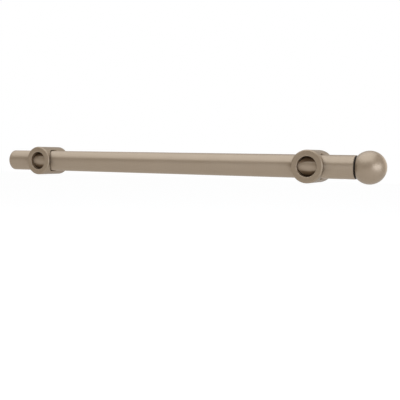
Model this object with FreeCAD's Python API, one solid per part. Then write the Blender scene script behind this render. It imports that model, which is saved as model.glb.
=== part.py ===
import FreeCAD, Part
import math
import os

# Closet valet rod: a tube held by two ring brackets, with a rod that slides out of its mouth.
# Millimetres. X runs along the rod towards the knob, Y towards the panel that carries the
# brackets, Z up. The origin lies on the panel's face, midway between the two screw holes.

# Ring brackets
bracket_spacing = 270.4        # between the two panel screws
bracket_wall = 3.8             # metal above and below the tube
bracket_front_wall = 3.5       # metal in front of the tube
panel_gap = 8.5                # between the tube and the panel
bracket_floor = 5.0            # metal left between the access bore and the panel
access_radius = 8.2            # bore that takes the screwdriver, open to the front
cradle_land = 10.0             # length along the tube that a bracket holds it over
cradle_relief = 0.5            # open gap round the tube on both sides of the land
window_edge = 1.2              # chamfer where the tube comes out through the ring's sides
front_edge = 1.3               # rounding of the outer front edge
bore_edge = 0.3                # chamfer of the access bore's rim
back_edge = 0.4                # chamfer next to the panel
panel_screw_hole_radius = 2.25
panel_screw_sink_radius = 4.5

# Set screws that clamp the tube from below
set_screw_radius = 2.0
set_screw_length = 3.0
set_screw_point = 0.7          # chamfer of the tip
set_screw_key = 2.0            # across the flats of the hexagon socket
set_screw_key_depth = 1.6

# Outer tube
tube_radius = 9.5
tube_wall = 1.2
front_overhang = 36.2          # from the front bracket's screw to the tube's mouth
rear_overhang = 36.7           # from the rear bracket's screw to the tube's other end
tube_edge = 0.25               # chamfer of the mouth
dimple_setback = 8.0           # from the mouth to the punched dimple that keeps the bush in
dimple_radius = 2.5
dimple_depth = 0.8

# Cap in the rear end
cap_head = 3.0
cap_edge = 0.6                 # chamfer round the head
cap_spigot = 10.0
cap_rib_height = 0.35
cap_rib_width = 1.2
cap_rib_count = 6
cap_wall = 2.4

# Bush in the mouth
bush_length = 40.0
bush_flange = 1.3
bush_flange_setback = 0.3      # the flange stays this much smaller than the tube
bush_flange_edge = 0.4
bush_land = 14.0               # each end of the bore that the rod runs in
bush_relief = 0.4              # the bore is this much wider between its lands
bush_lead = 0.5
bush_groove_slack = 0.3        # each side of the dimple's bulge, which sits in a groove

# Sliding rod
rod_radius = 6.0
rod_edge = 0.5
rest_gap = 0.2                 # between the knob and the bush with the rod pushed in
end_gap = 0.3                  # between the bumper and the bush with the rod pulled out
rear_clearance = 2.35          # between the piston's screw and the cap with the rod pushed in
spigot_radius = 4.0            # turned down at the rear end to carry the piston

# Knob
knob_radius = 13.12
knob_socket_depth = 4.0
knob_thread_depth = 11.0

# Stud between rod and knob
stud_radius = 3.0
stud_length = 22.0
stud_edge = 0.6
stud_depth_in_rod = 12.0
drill_point_angle = 118.0

# Piston and what is on it
piston_length = 30.0
piston_lead = 0.8
piston_waist_radius = 7.4
piston_waist_length = 12.0
ring_width = 2.2
ring_height = 2.2
ring_setback = 5.0             # from each end of the piston to the middle of its ring
ring_side_gap = 0.15
bumper_width = 2.5
bumper_clearance = 0.65        # between the bumper and the tube
bumper_groove_depth = 0.4
bumper_edge = 0.5
washer_radius = 6.5
washer_thickness = 1.2
screw_radius = 2.5
screw_length = 12.0
screw_head_radius = 4.75
screw_head_height = 2.75
screw_head_edge = 0.4          # straight rim of the head, next to the washer
screw_crown_radius = 2.9
screw_key = 3.0
screw_key_depth = 1.5

# Fits, all radial or per side
press_gap = 0.05               # pieces of one body that are pressed or glued together
slip_gap = 0.1                 # the tube in a bracket, where its set screw clamps it
thread_gap = 0.05              # between a screw and its hole, both left without threads
running_gap = 0.06             # pieces that slide or turn
thrust_gap = 0.1               # endways, where a turning piece meets its neighbour

# Sizes that follow from the tube
tube_bore_radius = tube_radius - tube_wall
rod_height = panel_gap + tube_radius        # from the panel to the rod's axis
bracket_radius = tube_radius + bracket_wall
bracket_length = rod_height + tube_radius + bracket_front_wall
knob_flat_radius = tube_radius              # the knob's flat, which meets the bush

# Places along the rod, from the knob to the piston's front and from the cap to the bumper
front_bracket_at = bracket_spacing / 2
rear_bracket_at = -bracket_spacing / 2
mouth_at = front_bracket_at + front_overhang
bush_rear_at = mouth_at - bush_length
knob_flat_at = mouth_at + bush_flange + rest_gap
knob_centre_at = knob_flat_at + math.sqrt(knob_radius ** 2 - knob_flat_radius ** 2)
rod_front_at = knob_flat_at + knob_socket_depth
tube_rear_at = rear_bracket_at - rear_overhang
washer_rear_at = tube_rear_at + cap_spigot + rear_clearance + screw_head_height
rod_rear_at = washer_rear_at + washer_thickness
piston_rear_at = rod_rear_at + thrust_gap
piston_front_at = piston_rear_at + piston_length
bumper_rear_at = piston_front_at + thrust_gap
bumper_front_at = bumper_rear_at + bumper_width
travel = bush_rear_at - end_gap - bumper_front_at

along_rod = FreeCAD.Vector(1, 0, 0)
towards_panel = FreeCAD.Vector(0, 1, 0)
upwards = FreeCAD.Vector(0, 0, 1)
rod_line = FreeCAD.Vector(0, -rod_height, 0)


def turned(corners, axis):
    """A solid of revolution. Each corner is (place along the axis, radius)."""
    if axis == along_rod:
        outline = [FreeCAD.Vector(along, 0, radius) for along, radius in corners]
    else:
        outline = [FreeCAD.Vector(radius, along, 0) for along, radius in corners]
    face = Part.Face(Part.makePolygon(outline + outline[:1]))
    return face.revolve(FreeCAD.Vector(0, 0, 0), axis, 360)


def round_bar(radius, start, end):
    """A plain cylinder on the X axis."""
    return Part.makeCylinder(radius, end - start, FreeCAD.Vector(start, 0, 0), along_rod)


def drilled_hole(radius, start, end):
    """The tool for a blind hole on the X axis, with a drill point beyond its end."""
    point = radius / math.tan(math.radians(drill_point_angle / 2))
    if end < start:
        point = -point
    return turned([(start, 0), (start, radius), (end, radius), (end + point, 0)], along_rod)


def hexagon_bar(across_flats, length, start, direction):
    """The tool for a hexagon socket."""
    corner_radius = across_flats / math.sqrt(3)
    corners = []
    for corner in range(7):
        angle = math.radians(60 * corner)
        corners.append(FreeCAD.Vector(corner_radius * math.cos(angle), corner_radius * math.sin(angle), 0))
    bar = Part.Face(Part.makePolygon(corners)).extrude(upwards * length)
    bar.Placement = FreeCAD.Placement(start, FreeCAD.Rotation(upwards, direction))
    return bar


def on_rod_line(shape):
    """Moves a piece made on the X axis out to the rod's own axis."""
    shape.translate(rod_line)
    return shape


def circles_at(shape, place, circle_radius, axis):
    """The circular edges of one radius that lie at one place along an axis."""
    picked = []
    for edge in shape.Edges:
        if edge.Degenerated or not isinstance(edge.Curve, Part.Circle):
            continue
        same_place = abs(edge.Curve.Center.dot(axis) - place) < 1e-4
        same_radius = abs(edge.Curve.Radius - circle_radius) < 1e-4
        if same_place and same_radius:
            picked.append(edge)
    return picked


def window_rims(ring, relief_radius):
    """The saddle-shaped edges where the cradle's relief comes out through a ring's sides."""
    picked = []
    for edge in ring.Edges:
        middle = edge.valueAt((edge.FirstParameter + edge.LastParameter) / 2)
        from_ring_axis = math.hypot(middle.x, middle.z)
        from_rod_axis = math.hypot(middle.y + rod_height, middle.z)
        on_ring_side = abs(from_ring_axis - bracket_radius) < 0.01
        on_relief = abs(from_rod_axis - relief_radius) < 0.01
        if on_ring_side and on_relief:
            picked.append(edge)
    return picked


def ring_bracket(bracket_at):
    """A short ring across the rod: an access bore from the front and a cradle for the tube."""
    front = -bracket_length
    sink_depth = panel_screw_sink_radius - panel_screw_hole_radius
    ring = turned(
        [
            (0, panel_screw_hole_radius),
            (0, bracket_radius - back_edge),
            (-back_edge, bracket_radius),
            (front, bracket_radius),
            (front, access_radius + bore_edge),
            (front + bore_edge, access_radius),
            (-bracket_floor, access_radius),
            (-bracket_floor, panel_screw_sink_radius),
            (-bracket_floor + sink_depth, panel_screw_hole_radius),
        ],
        towards_panel,
    )
    ring = ring.makeFillet(front_edge, circles_at(ring, front, bracket_radius, towards_panel))

    land_radius = tube_radius + slip_gap
    relief_radius = tube_radius + cradle_relief
    cradle = turned(
        [
            (-bracket_radius - 1, 0),
            (-bracket_radius - 1, relief_radius),
            (-cradle_land / 2, relief_radius),
            (-cradle_land / 2, land_radius),
            (cradle_land / 2, land_radius),
            (cradle_land / 2, relief_radius),
            (bracket_radius + 1, relief_radius),
            (bracket_radius + 1, 0),
        ],
        along_rod,
    )
    ring = ring.cut(on_rod_line(cradle))
    ring = ring.makeChamfer(window_edge, window_rims(ring, relief_radius))

    tapped_hole = Part.makeCylinder(
        set_screw_radius + thread_gap, bracket_radius, rod_line - upwards * bracket_radius, upwards
    )
    ring = ring.cut(tapped_hole)
    ring.translate(along_rod * bracket_at)
    return ring


def bracket_set_screw(bracket_at):
    """A socket set screw in a bracket's underside, with its point on the tube."""
    tip = -tube_radius
    end = tip - set_screw_length
    screw = Part.makeCylinder(set_screw_radius, set_screw_length, rod_line + upwards * end, upwards)
    screw = screw.makeChamfer(set_screw_point, circles_at(screw, tip, set_screw_radius, upwards))
    screw = screw.cut(hexagon_bar(set_screw_key, set_screw_key_depth, rod_line + upwards * end, upwards))
    screw.translate(along_rod * bracket_at)
    return screw


def dimple_ball(extra):
    """The ball that a dimple is pressed with, or its offset by some thickness."""
    centre_height = -tube_radius - dimple_radius + dimple_depth
    return Part.makeSphere(dimple_radius + extra, FreeCAD.Vector(mouth_at - dimple_setback, 0, centre_height))


def outer_tube():
    """The tube, with a dimple punched into its underside to hold the bush."""
    tube = turned(
        [
            (tube_rear_at, tube_bore_radius),
            (tube_rear_at, tube_radius),
            (mouth_at - tube_edge, tube_radius),
            (mouth_at, tube_radius - tube_edge),
            (mouth_at, tube_bore_radius),
        ],
        along_rod,
    )
    inside = round_bar(tube_radius, bush_rear_at, mouth_at)
    bulge = dimple_ball(tube_wall).common(inside)
    return on_rod_line(tube.fuse(bulge).cut(dimple_ball(0)))


def rear_end_cap():
    """The pressed-in cap: a flat head and a hollow spigot with lengthwise crush ribs."""
    head_at = tube_rear_at - cap_head
    spigot_end = tube_rear_at + cap_spigot
    rib_end = spigot_end - cap_rib_width
    rib_radius = tube_bore_radius - press_gap
    spigot_outside = rib_radius - cap_rib_height
    cap = turned(
        [
            (head_at, 0),
            (head_at, tube_radius - cap_edge),
            (head_at + cap_edge, tube_radius),
            (tube_rear_at, tube_radius),
            (tube_rear_at, spigot_outside),
            (spigot_end, spigot_outside),
            (spigot_end, 0),
        ],
        along_rod,
    )
    inside_tube = round_bar(rib_radius, tube_rear_at, rib_end)
    for rib in range(cap_rib_count):
        corner = FreeCAD.Vector(tube_rear_at, -cap_rib_width / 2, 0)
        bar = Part.makeBox(rib_end - tube_rear_at, cap_rib_width, tube_radius, corner)
        bar.rotate(FreeCAD.Vector(0, 0, 0), along_rod, 360 / cap_rib_count * rib)
        cap = cap.fuse(bar.common(inside_tube))
    hollow = round_bar(spigot_outside - cap_wall, tube_rear_at, spigot_end)
    return on_rod_line(cap.cut(hollow))


def front_bush():
    """The bush that guides the rod: a flange over the tube's mouth and two bearing lands."""
    bore = rod_radius + running_gap
    relieved = bore + bush_relief
    outside = tube_bore_radius - press_gap
    flange_radius = tube_radius - bush_flange_setback
    flange_front = mouth_at + bush_flange
    bulge_radius = dimple_radius + tube_wall
    bulge_centre = tube_radius + dimple_radius - dimple_depth
    groove_floor = bulge_centre - bulge_radius - press_gap
    groove_half_width = math.sqrt(bulge_radius ** 2 - (bulge_centre - outside) ** 2) + bush_groove_slack
    groove_middle = mouth_at - dimple_setback
    bush = turned(
        [
            (flange_front, bore + bush_lead),
            (flange_front, flange_radius - bush_flange_edge),
            (flange_front - bush_flange_edge, flange_radius),
            (mouth_at, flange_radius),
            (mouth_at, outside),
            (groove_middle + groove_half_width, outside),
            (groove_middle + groove_half_width, groove_floor),
            (groove_middle - groove_half_width, groove_floor),
            (groove_middle - groove_half_width, outside),
            (bush_rear_at + bush_lead, outside),
            (bush_rear_at, outside - bush_lead),
            (bush_rear_at, bore + bush_lead),
            (bush_rear_at + bush_lead, bore),
            (bush_rear_at + bush_land, bore),
            (bush_rear_at + bush_land + bush_relief, relieved),
            (mouth_at - bush_land - bush_relief, relieved),
            (mouth_at - bush_land, bore),
            (flange_front - bush_lead, bore),
        ],
        along_rod,
    )
    return on_rod_line(bush)


def inner_rod():
    """The sliding rod, tapped at both ends, with a spigot and a bumper groove at the rear."""
    groove_floor = rod_radius - bumper_groove_depth
    rod = turned(
        [
            (rod_rear_at, 0),
            (rod_rear_at, spigot_radius - rod_edge),
            (rod_rear_at + rod_edge, spigot_radius),
            (piston_front_at + thrust_gap / 2, spigot_radius),
            (piston_front_at + thrust_gap / 2, groove_floor),
            (bumper_front_at + thrust_gap, groove_floor),
            (bumper_front_at + thrust_gap, rod_radius),
            (rod_front_at - rod_edge, rod_radius),
            (rod_front_at, rod_radius - rod_edge),
            (rod_front_at, 0),
        ],
        along_rod,
    )
    front_hole = drilled_hole(stud_radius + thread_gap, rod_front_at, rod_front_at - stud_depth_in_rod - 1)
    rear_hole = drilled_hole(screw_radius + thread_gap, rod_rear_at, rod_rear_at + screw_length + 1)
    return on_rod_line(rod.cut(front_hole).cut(rear_hole))


def ball_knob():
    """A ball with a flat towards the bush, a socket for the rod and a tapped hole."""
    centre = FreeCAD.Vector(knob_centre_at, 0, 0)
    tip = centre + along_rod * knob_radius
    flat_rim = FreeCAD.Vector(knob_flat_at, 0, knob_flat_radius)
    top = centre + upwards * knob_radius
    outline = Part.Wire(
        [
            Part.makeLine(FreeCAD.Vector(knob_flat_at, 0, 0), flat_rim),
            Part.Arc(flat_rim, top, tip).toShape(),
            Part.makeLine(tip, FreeCAD.Vector(knob_flat_at, 0, 0)),
        ]
    )
    knob = Part.Face(outline).revolve(FreeCAD.Vector(0, 0, 0), along_rod, 360)
    socket = round_bar(rod_radius + press_gap, knob_flat_at, rod_front_at)
    thread = drilled_hole(stud_radius + thread_gap, rod_front_at, rod_front_at + knob_thread_depth)
    return on_rod_line(knob.cut(socket).cut(thread))


def knob_stud():
    """The threaded stud that joins the knob to the rod."""
    start = rod_front_at - stud_depth_in_rod
    end = start + stud_length
    stud = turned(
        [
            (start, 0),
            (start, stud_radius - stud_edge),
            (start + stud_edge, stud_radius),
            (end - stud_edge, stud_radius),
            (end, stud_radius - stud_edge),
            (end, 0),
        ],
        along_rod,
    )
    return on_rod_line(stud)


def piston():
    """The plastic piston: two ring grooves, a waist between them and a bore for the spigot."""
    outside = tube_bore_radius - running_gap
    bore = spigot_radius + running_gap
    middle = (piston_front_at + piston_rear_at) / 2
    groove_floor = outside - ring_height - press_gap
    groove_half_width = ring_width / 2 + ring_side_gap
    recesses = [
        (piston_rear_at + ring_setback, groove_half_width, groove_floor),
        (middle, piston_waist_length / 2, piston_waist_radius),
        (piston_front_at - ring_setback, groove_half_width, groove_floor),
    ]
    corners = [(piston_rear_at, bore)]
    corners += [(piston_rear_at, outside - piston_lead), (piston_rear_at + piston_lead, outside)]
    for place, half_width, floor in recesses:
        corners += [(place - half_width, outside), (place - half_width, floor)]
        corners += [(place + half_width, floor), (place + half_width, outside)]
    corners += [(piston_front_at - piston_lead, outside), (piston_front_at, outside - piston_lead)]
    corners += [(piston_front_at, bore)]
    return on_rod_line(turned(corners, along_rod))


def friction_ring(ring_at):
    """A square rubber ring in a piston groove, which drags lightly on the tube."""
    outside = tube_bore_radius - running_gap
    start = ring_at - ring_width / 2
    end = ring_at + ring_width / 2
    ring = round_bar(outside, start, end)
    return on_rod_line(ring.cut(round_bar(outside - ring_height, start, end)))


def stop_bumper():
    """The rubber ring on the rod that meets the bush when the rod is pulled out."""
    inside = rod_radius - bumper_groove_depth + press_gap
    outside = tube_bore_radius - bumper_clearance
    ring = turned(
        [
            (bumper_rear_at, inside),
            (bumper_rear_at, outside),
            (bumper_front_at - bumper_edge, outside),
            (bumper_front_at, outside - bumper_edge),
            (bumper_front_at, inside),
        ],
        along_rod,
    )
    return on_rod_line(ring)


def piston_washer():
    """The washer that keeps the piston on the rod's spigot."""
    washer = round_bar(washer_radius, washer_rear_at, rod_rear_at)
    hole = round_bar(screw_radius + thread_gap, washer_rear_at, rod_rear_at)
    return on_rod_line(washer.cut(hole))


def piston_screw():
    """The button-head screw in the rod's rear end."""
    head_rear = washer_rear_at - screw_head_height
    shank_end = washer_rear_at + screw_length
    screw = turned(
        [
            (head_rear, 0),
            (head_rear, screw_crown_radius),
            (washer_rear_at - screw_head_edge, screw_head_radius),
            (washer_rear_at, screw_head_radius),
            (washer_rear_at, screw_radius),
            (shank_end - rod_edge, screw_radius),
            (shank_end, screw_radius - rod_edge),
            (shank_end, 0),
        ],
        along_rod,
    )
    socket_mouth = FreeCAD.Vector(head_rear, 0, 0)
    return on_rod_line(screw.cut(hexagon_bar(screw_key, screw_key_depth, socket_mouth, along_rod)))


pieces = {
    "outer_tube": outer_tube(),
    "rear_end_cap": rear_end_cap(),
    "front_bush": front_bush(),
    "front_bracket": ring_bracket(front_bracket_at),
    "rear_bracket": ring_bracket(rear_bracket_at),
    "front_bracket_set_screw": bracket_set_screw(front_bracket_at),
    "rear_bracket_set_screw": bracket_set_screw(rear_bracket_at),
    "inner_rod": inner_rod(),
    "ball_knob": ball_knob(),
    "knob_stud": knob_stud(),
    "piston": piston(),
    "rear_friction_ring": friction_ring(piston_rear_at + ring_setback),
    "front_friction_ring": friction_ring(piston_front_at - ring_setback),
    "stop_bumper": stop_bumper(),
    "piston_washer": piston_washer(),
    "piston_screw": piston_screw(),
}

os.makedirs("parts", exist_ok=True)
for name, shape in pieces.items():
    if len(shape.Solids) != 1 or not shape.isValid():
        raise ValueError(name + " is not one valid solid")
    shape.Solids[0].exportStep("parts/" + name + ".step")
    box = shape.BoundBox
    print(name, round(shape.Volume, 1), [round(value, 2) for value in (box.XMin, box.YMin, box.ZMin)],
          [round(value, 2) for value in (box.XMax, box.YMax, box.ZMax)])
print("the rod slides out by", round(travel, 2))
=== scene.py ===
import math

import bpy
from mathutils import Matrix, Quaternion, Vector


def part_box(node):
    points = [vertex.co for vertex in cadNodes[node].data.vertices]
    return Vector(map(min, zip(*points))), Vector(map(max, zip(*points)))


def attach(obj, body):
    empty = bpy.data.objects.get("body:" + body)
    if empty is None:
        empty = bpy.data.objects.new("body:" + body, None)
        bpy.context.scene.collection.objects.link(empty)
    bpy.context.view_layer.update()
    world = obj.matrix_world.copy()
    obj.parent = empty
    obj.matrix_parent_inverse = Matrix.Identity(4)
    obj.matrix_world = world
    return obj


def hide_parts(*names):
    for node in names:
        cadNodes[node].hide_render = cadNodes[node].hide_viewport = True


# a closet valet rod: finishes for its CAD pieces, and real threads in place of four plain screws
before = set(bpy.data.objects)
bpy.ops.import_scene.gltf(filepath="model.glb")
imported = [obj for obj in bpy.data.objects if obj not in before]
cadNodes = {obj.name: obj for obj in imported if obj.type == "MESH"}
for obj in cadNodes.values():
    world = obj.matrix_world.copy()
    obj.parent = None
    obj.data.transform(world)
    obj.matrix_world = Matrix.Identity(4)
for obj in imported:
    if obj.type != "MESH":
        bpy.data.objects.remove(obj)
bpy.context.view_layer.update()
print("frame loaded:", len(cadNodes), "nodes")

# all lengths are in metres
alongRod = Vector((1, 0, 0))  # towards the knob
intoPanel = Vector((0, 1, 0))
upwards = Vector((0, 0, 1))


def centreOf(node):
    low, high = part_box(node)
    return (low + high) / 2


rodLine = Vector((0, centreOf("outer_tube").y, centreOf("outer_tube").z))  # shared by tube, rod and knob


def addNode(tree, kind, **settings):
    node = tree.nodes.new(kind)
    for key, value in settings.items():
        setattr(node, key, value)
    return node


def feed(tree, value, socket):
    # a socket takes another node's output, or a plain number or colour
    if isinstance(value, bpy.types.NodeSocket):
        tree.links.new(value, socket)
    else:
        socket.default_value = value


def calculate(tree, operation, first, second=None, clamp=False):
    node = addNode(tree, "ShaderNodeMath", operation=operation, use_clamp=clamp)
    feed(tree, first, node.inputs[0])
    if second is not None:
        feed(tree, second, node.inputs[1])
    return node.outputs[0]


def vectorOf(tree, x, y, z):
    node = addNode(tree, "ShaderNodeCombineXYZ")
    for value, socket in zip((x, y, z), node.inputs):
        feed(tree, value, socket)
    return node.outputs[0]


noiseRoughness = 0.6  # how much each finer step of a noise counts
noiseMean = 0.5  # what a noise varies about


def noiseOver(tree, vector, scale, detail):
    noise = addNode(tree, "ShaderNodeTexNoise")
    feed(tree, vector, noise.inputs["Vector"])
    feed(tree, scale, noise.inputs["Scale"])
    noise.inputs["Detail"].default_value = detail
    noise.inputs["Roughness"].default_value = noiseRoughness
    return noise.outputs["Fac"]


def perMetre(tree, size):
    # how many marks of one size fill a metre, which is the scale that a noise takes
    return calculate(tree, "DIVIDE", 1.0, size)


def between(tree, mask, low, high):
    # a number that runs from low to high with a mask
    spread = addNode(tree, "ShaderNodeMapRange")
    feed(tree, mask, spread.inputs["Value"])
    feed(tree, low, spread.inputs["To Min"])
    feed(tree, high, spread.inputs["To Max"])
    return spread.outputs[0]


def blendColours(tree, mask, first, second):
    blend = addNode(tree, "ShaderNodeMix", data_type="RGBA")
    firstColour, secondColour = blend.inputs[6:8]  # the six before them are for numbers and vectors
    feed(tree, mask, blend.inputs["Factor"])
    feed(tree, first, firstColour)
    feed(tree, second, secondColour)
    return blend.outputs[2]  # the one that is a colour


def newGroup(name, inputs, outputs):
    group = bpy.data.node_groups.new(name, "ShaderNodeTree")
    for socketName, kind, value in inputs:
        socket = group.interface.new_socket(name=socketName, in_out="INPUT", socket_type=kind)
        if value is not None:
            socket.default_value = value
    for socketName, kind in outputs:
        group.interface.new_socket(name=socketName, in_out="OUTPUT", socket_type=kind)
    return group, group.nodes.new("NodeGroupInput").outputs, group.nodes.new("NodeGroupOutput").inputs


def makeMottle():
    # slow drift between two tones, with a finer speckle in it
    group, given, result = newGroup(
        "mottle",
        [
            ("Vector", "NodeSocketVector", None),
            ("Tone A", "NodeSocketColor", (0.5, 0.5, 0.5, 1)),
            ("Tone B", "NodeSocketColor", (0.6, 0.6, 0.6, 1)),
            ("Patch Size", "NodeSocketFloat", 0.03),
            ("Speckle Size", "NodeSocketFloat", 0.0005),
            ("Speckle", "NodeSocketFloat", 0.2),
        ],
        [("Color", "NodeSocketColor"), ("Patches", "NodeSocketFloat")],
    )
    patches = noiseOver(group, given["Vector"], perMetre(group, given["Patch Size"]), detail=3)
    speckle = noiseOver(group, given["Vector"], perMetre(group, given["Speckle Size"]), detail=2)
    fine = calculate(group, "MULTIPLY", calculate(group, "SUBTRACT", speckle, noiseMean), given["Speckle"])
    total = calculate(group, "ADD", patches, fine, clamp=True)
    feed(group, blendColours(group, total, given["Tone A"], given["Tone B"]), result["Color"])
    feed(group, patches, result["Patches"])
    return group


# how fine and broad marks share the height that every kind of mark puts out
markMix = {
    "broadScale": 0.23,  # of the fine marks' scale, so they are about four times as broad
    "fineShare": 0.55,
    "broadShare": 0.45,
    "lowest": 0.32,  # the sum hardly leaves these two limits
    "highest": 0.68,
}


def twoScales(group, place):
    # fine marks with broader ones of the same kind among them, stretched to fill 0 to 1
    broad = addNode(group, "ShaderNodeVectorMath", operation="SCALE")
    feed(group, place, broad.inputs[0])
    broad.inputs["Scale"].default_value = markMix["broadScale"]
    fineNoise = noiseOver(group, place, scale=1.0, detail=2)
    fineShare = calculate(group, "MULTIPLY", fineNoise, markMix["fineShare"])
    broadNoise = noiseOver(group, broad.outputs[0], scale=1.0, detail=2)
    broadShare = calculate(group, "MULTIPLY", broadNoise, markMix["broadShare"])
    stretched = addNode(group, "ShaderNodeMapRange")
    feed(group, calculate(group, "ADD", fineShare, broadShare), stretched.inputs["Value"])
    stretched.inputs["From Min"].default_value = markMix["lowest"]
    stretched.inputs["From Max"].default_value = markMix["highest"]
    return stretched.outputs[0]


def makeBrushing():
    # long scratches that run along the third axis of the vector
    group, given, result = newGroup(
        "brushing",
        [
            ("Vector", "NodeSocketVector", None),
            ("Line Width", "NodeSocketFloat", 0.0002),
            ("Line Length", "NodeSocketFloat", 0.02),
        ],
        [("Height", "NodeSocketFloat")],
    )
    across = perMetre(group, given["Line Width"])
    along = perMetre(group, given["Line Length"])
    stretched = addNode(group, "ShaderNodeVectorMath", operation="MULTIPLY")
    feed(group, given["Vector"], stretched.inputs[0])
    feed(group, vectorOf(group, across, across, along), stretched.inputs[1])
    feed(group, twoScales(group, stretched.outputs[0]), result["Height"])
    return group


def makeTurning():
    # fine tool marks that run round the third axis of the vector
    group, given, result = newGroup(
        "turning",
        [
            ("Vector", "NodeSocketVector", None),
            ("Line Width", "NodeSocketFloat", 0.0002),
            ("Line Length", "NodeSocketFloat", 0.02),
        ],
        [("Height", "NodeSocketFloat")],
    )
    split = addNode(group, "ShaderNodeSeparateXYZ")
    feed(group, given["Vector"], split.inputs[0])
    flat = addNode(group, "ShaderNodeVectorMath", operation="LENGTH")
    feed(group, vectorOf(group, split.outputs["X"], split.outputs["Y"], 0.0), flat.inputs[0])
    radius = flat.outputs["Value"]
    across = perMetre(group, given["Line Width"])
    angle = calculate(group, "ARCTAN2", split.outputs["Y"], split.outputs["X"])
    swing = calculate(group, "MULTIPLY", calculate(group, "SINE", angle), radius)
    # quick changes outwards and along the axis, and slow ones on the way round
    place = vectorOf(
        group,
        calculate(group, "MULTIPLY", radius, across),
        calculate(group, "MULTIPLY", split.outputs["Z"], across),
        calculate(group, "DIVIDE", swing, given["Line Length"]),
    )
    feed(group, twoScales(group, place), result["Height"])
    return group


def makeGrain():
    # an even grain with no direction, as blasting leaves on metal and a mould leaves on plastic
    group, given, result = newGroup(
        "grain",
        [("Vector", "NodeSocketVector", None), ("Grain Size", "NodeSocketFloat", 0.0003)],
        [("Height", "NodeSocketFloat")],
    )
    scaled = addNode(group, "ShaderNodeVectorMath", operation="SCALE")
    feed(group, given["Vector"], scaled.inputs[0])
    feed(group, perMetre(group, given["Grain Size"]), scaled.inputs["Scale"])
    feed(group, twoScales(group, scaled.outputs[0]), result["Height"])
    return group


edgeSearch = {
    "samples": 6,
    "steepness": 6.0,  # how soon a turned normal counts as an edge
}


def makeEdgeWearAndHighlight():
    # a mask that is 1 on edges and 0 on open faces, which paints wear and a highlight there, and the
    # normal that softens those edges
    group, given, result = newGroup(
        "edgeWearAndHighlight",
        [("Width", "NodeSocketFloat", 0.0004), ("Amount", "NodeSocketFloat", 1.0)],
        [("Mask", "NodeSocketFloat"), ("Normal", "NodeSocketVector")],
    )
    bevel = addNode(group, "ShaderNodeBevel", samples=edgeSearch["samples"])
    feed(group, given["Width"], bevel.inputs["Radius"])
    facing = addNode(group, "ShaderNodeVectorMath", operation="DOT_PRODUCT")
    feed(group, bevel.outputs["Normal"], facing.inputs[0])
    feed(group, addNode(group, "ShaderNodeNewGeometry").outputs["Normal"], facing.inputs[1])
    turnedAway = calculate(group, "SUBTRACT", 1.0, facing.outputs["Value"])
    steep = calculate(group, "MULTIPLY", turnedAway, edgeSearch["steepness"], clamp=True)
    feed(group, calculate(group, "MULTIPLY", steep, given["Amount"], clamp=True), result["Mask"])
    feed(group, bevel.outputs["Normal"], result["Normal"])
    return group


seamSearch = {
    "samples": 8,
    "unshaded": 0.55,  # as open as this there is no painted shade, so a plain inside corner stays unshaded
    "full": 0.15,  # and as closed as this the painted shade is full
}


def makeSeamShade():
    # a mask for painted shade, 1 deep in the narrow gap between two pieces and 0 in the open
    group, given, result = newGroup(
        "seamShade",
        [("Reach", "NodeSocketFloat", 0.001), ("Amount", "NodeSocketFloat", 1.0)],
        [("Mask", "NodeSocketFloat")],
    )
    openness = addNode(group, "ShaderNodeAmbientOcclusion", samples=seamSearch["samples"])
    feed(group, given["Reach"], openness.inputs["Distance"])
    deep = addNode(group, "ShaderNodeMapRange")
    feed(group, openness.outputs["AO"], deep.inputs["Value"])
    deep.inputs["From Min"].default_value = seamSearch["unshaded"]
    deep.inputs["From Max"].default_value = seamSearch["full"]
    feed(group, calculate(group, "MULTIPLY", deep.outputs[0], given["Amount"]), result["Mask"])
    return group


shaderGroups = {
    "mottle": makeMottle(),
    "brushing": makeBrushing(),
    "turning": makeTurning(),
    "grain": makeGrain(),
    "edgeWearAndHighlight": makeEdgeWearAndHighlight(),
    "seamShade": makeSeamShade(),
}
print("shader groups built:", len(shaderGroups))


def newMaterial(name):
    material = bpy.data.materials.new(name)
    material.use_nodes = True
    return material, material.node_tree, material.node_tree.nodes["Principled BSDF"]


def placeGroup(tree, name, **values):
    # each value goes to the input of its own name, with a space where it has an underscore
    node = addNode(tree, "ShaderNodeGroup")
    node.node_tree = shaderGroups[name]
    for key, value in values.items():
        feed(tree, value, node.inputs[key.replace("_", " ")])
    return node.outputs


def placeMottle(tree, vector, finish, speckleSize):
    return placeGroup(
        tree, "mottle", Vector=vector, Tone_A=finish["toneA"], Tone_B=finish["toneB"],
        Patch_Size=finish["patchSize"], Speckle_Size=speckleSize, Speckle=finish["speckle"],
    )


def roughnessOver(tree, mask, finish):
    # the finish's own roughness, more or less by its spread
    low = finish["roughness"] - finish["roughnessSpread"]
    high = finish["roughness"] + finish["roughnessSpread"]
    return between(tree, mask, low, high)


def pieceVector(tree, centre, axis):
    # object coordinates measured from a centre, with their third axis along the piece's own axis
    moved = addNode(tree, "ShaderNodeVectorMath", operation="SUBTRACT")
    feed(tree, addNode(tree, "ShaderNodeTexCoord").outputs["Object"], moved.inputs[0])
    feed(tree, centre, moved.inputs[1])
    turned = addNode(tree, "ShaderNodeMapping", vector_type="POINT")
    feed(tree, moved.outputs[0], turned.inputs["Vector"])
    turned.inputs["Rotation"].default_value = axis.rotation_difference(upwards).to_euler()
    return turned.outputs[0]


def bumpFrom(tree, height, depth, strength, normal):
    bump = addNode(tree, "ShaderNodeBump")
    bump.inputs["Strength"].default_value = strength
    bump.inputs["Distance"].default_value = depth
    feed(tree, height, bump.inputs["Height"])
    feed(tree, normal, bump.inputs["Normal"])
    return bump.outputs[0]


quarterTurn = 0.25  # an anisotropic rotation is given in whole turns


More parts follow.
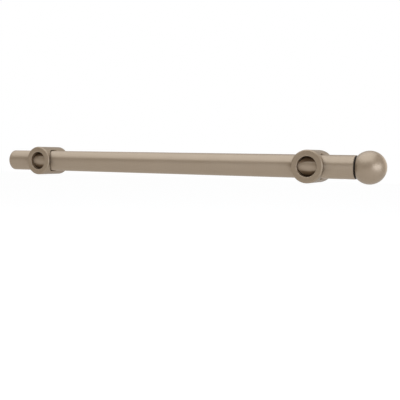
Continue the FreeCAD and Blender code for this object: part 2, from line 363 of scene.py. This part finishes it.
def metal(name, finish, centre, axis):
    # a plated metal skin: two tones, the marks of its making, edges rubbed smoother and paler as wear with
    # a painted highlight on top, and painted shade in narrow gaps where the finish asks for it
    material, tree, shader = newMaterial(name)
    vector = pieceVector(tree, centre, axis)
    mottle = placeMottle(tree, vector, finish, finish["speckleSize"])
    marks = placeGroup(tree, finish["marks"], Vector=vector, **finish["markSizes"])["Height"]
    wearAndHighlight = placeGroup(tree, "edgeWearAndHighlight", Width=finish["edgeWidth"], Amount=finish["edgeWearAndHighlight"])
    rubbed = calculate(tree, "MULTIPLY", marks, finish["markTone"])
    paler = calculate(tree, "MAXIMUM", wearAndHighlight["Mask"], rubbed)
    # wear and a painted highlight make edges and marks paler
    colour = blendColours(tree, paler, mottle["Color"], finish["wearAndHighlightTone"])
    # painted shade darkens the narrow gaps
    if "seam" in finish:
        gap = finish["seam"]
        seam = placeGroup(tree, "seamShade", Reach=gap["reach"], Amount=gap["amount"])
        colour = blendColours(tree, seam["Mask"], colour, gap["tone"])
    feed(tree, colour, shader.inputs["Base Color"])
    clouds = between(tree, mottle["Patches"], -finish["cloud"], finish["cloud"])
    cloudy = calculate(tree, "ADD", roughnessOver(tree, marks, finish), clouds)
    feed(tree, between(tree, wearAndHighlight["Mask"], cloudy, finish["wornRoughness"]), shader.inputs["Roughness"])
    normal = bumpFrom(tree, marks, finish["markDepth"], finish["markStrength"], wearAndHighlight["Normal"])
    feed(tree, normal, shader.inputs["Normal"])
    shader.inputs["Metallic"].default_value = finish["metallic"]
    shader.inputs["Specular Tint"].default_value = finish["rimTone"]
    if finish["stretch"]:
        # shine drawn out along the axis, as fine rings round a turned bar do
        tangent = addNode(tree, "ShaderNodeTangent", direction_type="RADIAL", axis="X")
        feed(tree, tangent.outputs[0], shader.inputs["Tangent"])
        shader.inputs["Anisotropic"].default_value = finish["stretch"]
        shader.inputs["Anisotropic Rotation"].default_value = quarterTurn
    return material


def moulded(name, finish):
    # a moulded skin: two tones, a fine grain and soft edges
    material, tree, shader = newMaterial(name)
    vector = addNode(tree, "ShaderNodeTexCoord").outputs["Object"]
    mottle = placeMottle(tree, vector, finish, finish["grainSize"])
    feed(tree, mottle["Color"], shader.inputs["Base Color"])
    feed(tree, roughnessOver(tree, mottle["Patches"], finish), shader.inputs["Roughness"])
    skin = placeGroup(tree, "grain", Vector=vector, Grain_Size=finish["grainSize"])
    edge = placeGroup(tree, "edgeWearAndHighlight", Width=finish["edgeWidth"], Amount=1.0)
    normal = bumpFrom(tree, skin["Height"], finish["grainDepth"], finish["grainStrength"], edge["Normal"])
    feed(tree, normal, shader.inputs["Normal"])
    shader.inputs["Specular IOR Level"].default_value = finish["gloss"]
    return material


def dress(node, material):
    mesh = cadNodes[node].data
    mesh.materials.clear()
    mesh.materials.append(material)


# warm satin nickel, which the cap has as it is, and tube, brackets and knob each in their own way
satinNickel = {
    "toneA": (0.270, 0.205, 0.143, 1),
    "toneB": (0.312, 0.240, 0.171, 1),
    "wearAndHighlightTone": (0.37, 0.295, 0.22, 1),
    "patchSize": 0.03,
    "speckleSize": 0.0005,
    "speckle": 0.7,
    "marks": "turning",  # the group that draws them
    "markSizes": {"Line_Width": 0.00024, "Line_Length": 0.014},
    "markTone": 0.4,  # how far the marks take the colour to the wear and highlight tone
    "markDepth": 0.00003,
    "markStrength": 0.6,
    "roughness": 0.41,
    "roughnessSpread": 0.08,  # how it changes with the marks
    "cloud": 0.02,  # and how it changes from patch to patch
    "wornRoughness": 0.35,
    "edgeWidth": 0.0005,
    "edgeWearAndHighlight": 0.5,
    "rimTone": (0.82, 0.80, 0.78, 1),  # how much of the shine is left where the surface turns away
    "stretch": 0,
    "metallic": 0.9,
}

# painted shade: the dark of the narrow gaps between the tube and its brackets
gapShade = {"reach": 0.0014, "amount": 0.6, "tone": (0.07, 0.04, 0.016, 1)}

# the tube is ground, so its finest lines run round it and its shine is drawn out lengthways
groundNickel = {
    **satinNickel,
    "toneA": (0.296, 0.226, 0.156, 1),
    "toneB": (0.342, 0.264, 0.188, 1),
    "wearAndHighlightTone": (0.40, 0.32, 0.24, 1),
    "roughness": 0.43,
    "stretch": 0.95,
    "seam": gapShade,
}

dress("outer_tube", metal("tubeNickel", groundNickel, rodLine, alongRod))
dress("rear_end_cap", metal("capNickel", satinNickel, centreOf("rear_end_cap"), alongRod))

# the cast rings are blasted before plating and a little darker, and their bright edges are a painted
# highlight on top of the wear
castNickel = {
    **satinNickel,
    "toneA": (0.232, 0.175, 0.120, 1),
    "toneB": (0.274, 0.210, 0.147, 1),
    "wearAndHighlightTone": (0.45, 0.365, 0.275, 1),
    "wornRoughness": 0.3,
    "edgeWearAndHighlight": 1.0,
    "marks": "grain",
    "markSizes": {"Grain_Size": 0.0004},
    "markTone": 0.2,
    "markDepth": 0.00005,
    "rimTone": (0.66, 0.64, 0.62, 1),
    "seam": gapShade,
}

for bracket in ("front_bracket", "rear_bracket"):
    dress(bracket, metal(bracket + "Nickel", castNickel, centreOf(bracket), intoPanel))
print("tube, cap and brackets in satin nickel")


def ballCentre():
    low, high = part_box("ball_knob")
    radius = (high.z - low.z) / 2
    return Vector((high.x - radius, rodLine.y, rodLine.z))


# the knob's turned ball
knobNickel = {
    **satinNickel,
    "toneA": (0.252, 0.191, 0.132, 1),
    "toneB": (0.296, 0.228, 0.161, 1),
    "markTone": 0.25,
    "markDepth": 0.00002,
    "roughness": 0.39,
    "rimTone": (0.92, 0.90, 0.88, 1),
}

dress("ball_knob", metal("knobNickel", knobNickel, ballCentre(), alongRod))
print("knob in satin nickel")

# the sliding rod is drawn and plated bright, and the bush has wiped it smooth
brightNickel = {
    "toneA": (0.335, 0.285, 0.225, 1),
    "toneB": (0.395, 0.34, 0.275, 1),
    "wearAndHighlightTone": (0.46, 0.405, 0.335, 1),
    "patchSize": 0.02,
    "speckleSize": 0.0008,
    "speckle": 0.5,
    "marks": "brushing",
    "markSizes": {"Line_Width": 0.00022, "Line_Length": 0.03},
    "markTone": 0.5,
    "markDepth": 0.000012,
    "markStrength": 0.5,
    "roughness": 0.28,
    "roughnessSpread": 0.06,
    "cloud": 0.02,
    "wornRoughness": 0.16,
    "edgeWidth": 0.0004,
    "edgeWearAndHighlight": 0.5,
    "rimTone": (0.62, 0.61, 0.60, 1),
    "stretch": 0,
    "metallic": 1.0,
}

dress("inner_rod", metal("rodNickel", brightNickel, rodLine, alongRod))
print("rod in bright nickel")

# zinc plate of the screws, the stud and the washer
zincPlate = {
    "toneA": (0.40, 0.405, 0.40, 1),
    "toneB": (0.50, 0.49, 0.455, 1),
    "wearAndHighlightTone": (0.60, 0.59, 0.57, 1),
    "patchSize": 0.003,
    "speckleSize": 0.0003,
    "speckle": 0.6,
    "marks": "turning",
    "markSizes": {"Line_Width": 0.00012, "Line_Length": 0.004},
    "markTone": 0.3,
    "markDepth": 0.000004,
    "markStrength": 0.4,
    "roughness": 0.3,
    "roughnessSpread": 0.08,
    "cloud": 0.04,
    "wornRoughness": 0.22,
    "edgeWidth": 0.0002,
    "edgeWearAndHighlight": 0.7,
    "rimTone": (0.85, 0.85, 0.85, 1),
    "stretch": 0,
    "metallic": 1.0,
}

dress("piston_washer", metal("washerZinc", zincPlate, centreOf("piston_washer"), alongRod))
print("washer in zinc plate")

# the bush, with a dull skin that is a warm black
blackAcetal = {
    "toneA": (0.013, 0.0075, 0.0035, 1),
    "toneB": (0.020, 0.0125, 0.0065, 1),
    "patchSize": 0.006,
    "speckle": 0.4,
    "grainSize": 0.00025,
    "grainDepth": 0.000006,
    "grainStrength": 0.4,
    "roughness": 0.55,
    "roughnessSpread": 0.05,
    "edgeWidth": 0.0003,
    "gloss": 0.15,
}

# the piston, in the plastic's own off-white
whiteAcetal = {
    "toneA": (0.55, 0.48, 0.37, 1),
    "toneB": (0.62, 0.55, 0.435, 1),
    "patchSize": 0.006,
    "speckle": 0.5,
    "grainSize": 0.0003,
    "grainDepth": 0.00001,
    "grainStrength": 0.5,
    "roughness": 0.45,
    "roughnessSpread": 0.08,
    "edgeWidth": 0.0003,
    "gloss": 0.35,
}

# the two friction rings and the stop bumper
nitrileRubber = {
    "toneA": (0.010, 0.010, 0.010, 1),
    "toneB": (0.022, 0.021, 0.020, 1),
    "patchSize": 0.004,
    "speckle": 0.6,
    "grainSize": 0.0002,
    "grainDepth": 0.00001,
    "grainStrength": 0.5,
    "roughness": 0.75,
    "roughnessSpread": 0.06,
    "edgeWidth": 0.0003,
    "gloss": 0.3,
}

dress("front_bush", moulded("blackAcetal", blackAcetal))
dress("piston", moulded("whiteAcetal", whiteAcetal))
rubber = moulded("nitrileRubber", nitrileRubber)
for ring in ("rear_friction_ring", "front_friction_ring", "stop_bumper"):
    dress(ring, rubber)
print("bush, piston and rubber rings dressed")

# what the threads share: the flats at root and crest as shares of the pitch, and points in a ring
threadForm = {"rootFlat": 0.25, "crestFlat": 0.125, "around": 36}

smoothUpTo = 28  # degrees between two faces, and a sharp edge beyond


def hexagonRadius(acrossFlats):
    # the radius of a hexagon's outline at an angle
    sixth = math.tau / 6

    def radiusAt(angle):
        return acrossFlats / 2 / math.cos(angle % sixth - sixth / 2)

    return radiusAt


def roundRadius(radius):
    return lambda angle: radius


def threadRadius(place, start, end, screw):
    # a thread's outline at one place: flat crests and roots, and both ends chamfered to 45 degrees
    major = screw["radius"]
    core = major - screw["threadDepth"]
    fromEnd = min(place - start, end - place)
    envelope = core + fromEnd

    def radiusAt(angle):
        phase = (place / screw["pitch"] - angle / math.tau) % 1
        rise = 1 - 2 * min(phase, 1 - phase)
        share = min(max((rise - screw["rootFlat"]) / (1 - screw["rootFlat"] - screw["crestFlat"]), 0), 1)
        return min(core + (major - core) * share, envelope)

    return radiusAt


def threadRings(start, end, screw):
    count = max(2, round((end - start) / screw["pitch"] * screw["ringsPerTurn"]))
    rings = []
    for step in range(count + 1):
        place = start + (end - start) * step / count
        rings.append((place, threadRadius(place, start, end, screw)))
    return rings


def latheMesh(name, rings, startPlace, endPlace, origin, axis, around):
    # rings of points round an axis, closed by a point on the axis at each end
    side = intoPanel if axis == alongRod else alongRod  # square to the axis
    other = axis.cross(side)
    points = [origin + axis * startPlace]
    for place, radiusAt in rings:
        for step in range(around):
            angle = math.tau * step / around
            outward = side * math.cos(angle) + other * math.sin(angle)
            points.append(origin + axis * place + outward * radiusAt(angle))
    points.append(origin + axis * endPlace)
    last = len(points) - 1
    faces = []
    for step in range(around):
        following = (step + 1) % around
        faces.append((0, 1 + following, 1 + step))
        for ring in range(len(rings) - 1):
            near = 1 + ring * around
            far = near + around
            faces.append((near + step, near + following, far + following, far + step))
        top = 1 + (len(rings) - 1) * around
        faces.append((top + step, top + following, last))
    mesh = bpy.data.meshes.new(name)
    mesh.from_pydata(points, [], faces)
    for polygon in mesh.polygons:
        polygon.use_smooth = True
    mesh.set_sharp_from_angle(angle=math.radians(smoothUpTo))
    return mesh


def socketRings(face, screw):
    # a hexagon socket from its floor out to the screw's face, with a lead-in at its mouth
    key = screw["key"]
    lead = screw["keyLead"]
    return [
        (face + screw["keyDepth"], hexagonRadius(key)),
        (face + lead, hexagonRadius(key)),
        (face, hexagonRadius(key + 2 * lead)),
    ]


def placePiece(name, mesh, node, body, material):
    # a mesh that stands for a CAD node
    mesh.materials.append(material)
    piece = bpy.data.objects.new(name, mesh)
    bpy.context.scene.collection.objects.link(piece)
    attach(piece, body)
    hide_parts(node)


# M6 stud between the rod and the knob
knobStud = {
    **threadForm,
    "radius": 0.003,
    "threadDepth": 0.00061,
    "pitch": 0.001,
    "ringsPerTurn": 8,
}


def makeKnobStud():
    low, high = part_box("knob_stud")
    rings = threadRings(low.x, high.x, knobStud)
    mesh = latheMesh("knobStud", rings, low.x, high.x, rodLine, alongRod, knobStud["around"])
    material = metal("studZinc", zincPlate, centreOf("knob_stud"), alongRod)
    placePiece("knobStud", mesh, "knob_stud", "rod", material)


makeKnobStud()
print("knob stud threaded")

# M5 button-head screw that holds the washer and the piston on the rod
pistonScrew = {
    **threadForm,
    "radius": 0.0025,
    "threadDepth": 0.00049,
    "pitch": 0.0008,
    "ringsPerTurn": 8,
    "headHeight": 0.00275,
    "headRim": 0.0004,
    "crownRadius": 0.0029,  # of the flat round the socket, where the dome starts
    "domeSteps": 6,
    "key": 0.003,
    "keyDepth": 0.0015,
    "keyLead": 0.00015,
}


def makePistonScrew():
    low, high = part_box("piston_screw")
    headRadius = (high.z - low.z) / 2
    crownRadius = pistonScrew["crownRadius"]
    seat = low.x + pistonScrew["headHeight"]
    domeFoot = seat - pistonScrew["headRim"]
    rings = socketRings(low.x, pistonScrew)
    for step in range(pistonScrew["domeSteps"] + 1):
        turn = math.pi / 2 * step / pistonScrew["domeSteps"]
        radius = crownRadius + (headRadius - crownRadius) * math.sin(turn)
        rings.append((domeFoot + (low.x - domeFoot) * math.cos(turn), roundRadius(radius)))
    rings.append((seat, roundRadius(headRadius)))
    rings.append((seat, roundRadius(pistonScrew["radius"])))
    rings += threadRings(seat + pistonScrew["pitch"] / 2, high.x, pistonScrew)
    socketFloor = low.x + pistonScrew["keyDepth"]
    mesh = latheMesh("pistonScrew", rings, socketFloor, high.x, rodLine, alongRod, pistonScrew["around"])
    material = metal("pistonScrewZinc", zincPlate, centreOf("piston_screw"), alongRod)
    placePiece("pistonScrew", mesh, "piston_screw", "rod", material)


makePistonScrew()
print("piston screw threaded")

# M4 cup-point screws that clamp the tube from below
setScrew = {
    **threadForm,
    "radius": 0.002,
    "threadDepth": 0.00043,
    "pitch": 0.0007,
    "ringsPerTurn": 10,
    "pointHeight": 0.0007,
    "pointRadius": 0.0013,
    "cupRadius": 0.0009,
    "cupDepth": 0.0004,
    "key": 0.002,
    "keyDepth": 0.0016,
    "keyLead": 0.00012,
}


def makeSetScrew(name, node):
    low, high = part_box(node)
    middle = centreOf(node)
    origin = Vector((middle.x, middle.y, 0))
    rings = socketRings(low.z, setScrew)
    rings += threadRings(low.z, high.z - setScrew["pointHeight"], setScrew)
    rings.append((high.z, roundRadius(setScrew["pointRadius"])))
    rings.append((high.z, roundRadius(setScrew["cupRadius"])))
    socketFloor = low.z + setScrew["keyDepth"]
    cupFloor = high.z - setScrew["cupDepth"]
    mesh = latheMesh(name, rings, socketFloor, cupFloor, origin, upwards, setScrew["around"])
    material = metal(name + "Zinc", zincPlate, middle, upwards)
    placePiece(name, mesh, node, "housing", material)


makeSetScrew("frontSetScrew", "front_bracket_set_screw")
makeSetScrew("rearSetScrew", "rear_bracket_set_screw")
print("set screws threaded")


def seenDirectly(tree):
    # 1 for camera, glossy and transmission rays, and 0 for the rest
    path = addNode(tree, "ShaderNodeLightPath").outputs
    seen = calculate(tree, "MAXIMUM", path["Is Camera Ray"], path["Is Glossy Ray"])
    return calculate(tree, "MAXIMUM", seen, path["Is Transmission Ray"])


def makeSheet(name, corners, material):
    # one flat face of the studio
    mesh = bpy.data.meshes.new(name)
    mesh.from_pydata(corners, [], [(0, 1, 2, 3)])
    mesh.materials.append(material)
    sheet = bpy.data.objects.new(name, mesh)
    bpy.context.scene.collection.objects.link(sheet)
    return sheet


floor = {
    "drop": 0.25,  # from the rod's line down to the floor
    "size": 12.0,
    "tone": (0.5, 0.5, 0.5, 1),
    "glow": 0.71,  # brings the lit paper up to white where it is seen, and lights nothing
}


def makeFloor():
    material, tree, shader = newMaterial("floorPaper")
    shader.inputs["Base Color"].default_value = floor["tone"]
    shader.inputs["Roughness"].default_value = 1.0
    shader.inputs["Specular IOR Level"].default_value = 0.0
    shader.inputs["Emission Color"].default_value = (1, 1, 1, 1)
    glow = calculate(tree, "MULTIPLY", seenDirectly(tree), floor["glow"])
    feed(tree, glow, shader.inputs["Emission Strength"])
    # clear from below, so that the underside can be looked at
    oneSided = addNode(tree, "ShaderNodeMixShader")
    feed(tree, addNode(tree, "ShaderNodeNewGeometry").outputs["Backfacing"], oneSided.inputs["Fac"])
    feed(tree, shader.outputs[0], oneSided.inputs[1])
    feed(tree, addNode(tree, "ShaderNodeBsdfTransparent").outputs[0], oneSided.inputs[2])
    feed(tree, oneSided.outputs[0], tree.nodes["Material Output"].inputs["Surface"])
    half = floor["size"] / 2
    height = rodLine.z - floor["drop"]
    corners = [(-half, -half, height), (half, -half, height), (half, half, height), (-half, half, height)]
    makeSheet("floor", corners, material)


# how bright the white surroundings are: as light on the object, and where they are seen
sky = {"fill": 0.55, "seen": 1.0}


def makeWorld():
    world = bpy.data.worlds.new("studio")
    bpy.context.scene.world = world
    world.use_nodes = True
    tree = world.node_tree
    background = tree.nodes["Background"]
    background.inputs["Color"].default_value = (1, 1, 1, 1)
    feed(tree, between(tree, seenDirectly(tree), sky["fill"], sky["seen"]), background.inputs["Strength"])


# two softboxes, with their power in watts
lamps = {
    "overheadSoftbox": {
        "place": (-0.12, -0.2, 0.95), "aim": (0, -0.168, 0), "size": (2.0, 1.6),
        "power": 14.2, "tone": (0.73, 0.84, 1.0),
    },
    "sideSoftbox": {
        "place": (1.19, -0.5, 0.105), "aim": (0.18, -0.018, 0), "size": (1.3, 0.56),
        "power": 7.5, "tone": (0.70, 0.81, 1.0),
    },
}


def makeLamps():
    for name, lamp in lamps.items():
        light = bpy.data.lights.new(name, "AREA")
        light.shape = "RECTANGLE"
        light.size, light.size_y = lamp["size"]
        light.energy = lamp["power"]
        light.color = lamp["tone"]
        softbox = bpy.data.objects.new(name, light)
        bpy.context.scene.collection.objects.link(softbox)
        towards = Vector(lamp["aim"]) - Vector(lamp["place"])
        softbox.location = lamp["place"]
        softbox.rotation_mode = "QUATERNION"
        softbox.rotation_quaternion = towards.to_track_quat("-Z", "Y")
        softbox.visible_camera = False


# cards before and behind the rod, which only reflections show
cards = {
    "greyCard": {"x": (-3.4, 1.0), "y": -1.5, "z": (0.18, 1.25), "glow": (0.76, 0.745, 0.72, 1)},
    "cameraShade": {"x": (-0.32, 0.02), "y": -1.45, "z": (0.16, 0.44), "glow": (0.50, 0.49, 0.48, 1)},
    "rimCard": {"x": (0.25, 1.3), "y": 1.14, "z": (-0.25, 0.7), "glow": (1.75, 1.71, 1.66, 1)},
}


def makeCards():
    for name, card in cards.items():
        material, tree, shader = newMaterial(name)
        shader.inputs["Base Color"].default_value = (0, 0, 0, 1)
        shader.inputs["Emission Color"].default_value = card["glow"]
        shader.inputs["Emission Strength"].default_value = 1.0
        left, right = card["x"]
        low, high = card["z"]
        y = card["y"]
        corners = [(left, y, low), (right, y, low), (right, y, high), (left, y, high)]
        sheet = makeSheet(name, corners, material)
        sheet.visible_camera = False
        sheet.visible_diffuse = False
        sheet.visible_shadow = False


# angles are in degrees, and lens and sensor in millimetres
view = {
    "place": (0.3162, -0.5581, 0.0096),
    "azimuth": 27.52,
    "elevation": 3.85,
    "roll": 0.8,
    "lens": 63.1,
    "sensor": 36.0,
    "nearest": 0.01,
    "farthest": 50.0,
}


def makeCamera():
    camera = bpy.data.cameras.new("camera")
    camera.lens = view["lens"]
    camera.sensor_width = view["sensor"]
    camera.clip_start = view["nearest"]
    camera.clip_end = view["farthest"]
    cameraObject = bpy.data.objects.new("camera", camera)
    bpy.context.scene.collection.objects.link(cameraObject)
    azimuth = math.radians(view["azimuth"])
    elevation = math.radians(view["elevation"])
    forward = Vector((
        -math.sin(azimuth) * math.cos(elevation),
        math.cos(azimuth) * math.cos(elevation),
        -math.sin(elevation),
    ))
    level = forward.to_track_quat("-Z", "Y")
    cameraObject.location = view["place"]
    cameraObject.rotation_mode = "QUATERNION"
    cameraObject.rotation_quaternion = level @ Quaternion((0, 0, 1), math.radians(view["roll"]))
    bpy.context.scene.camera = cameraObject


makeFloor()
makeWorld()
makeLamps()
makeCards()
makeCamera()
bpy.context.scene.view_settings.view_transform = "Standard"
print("studio ready")
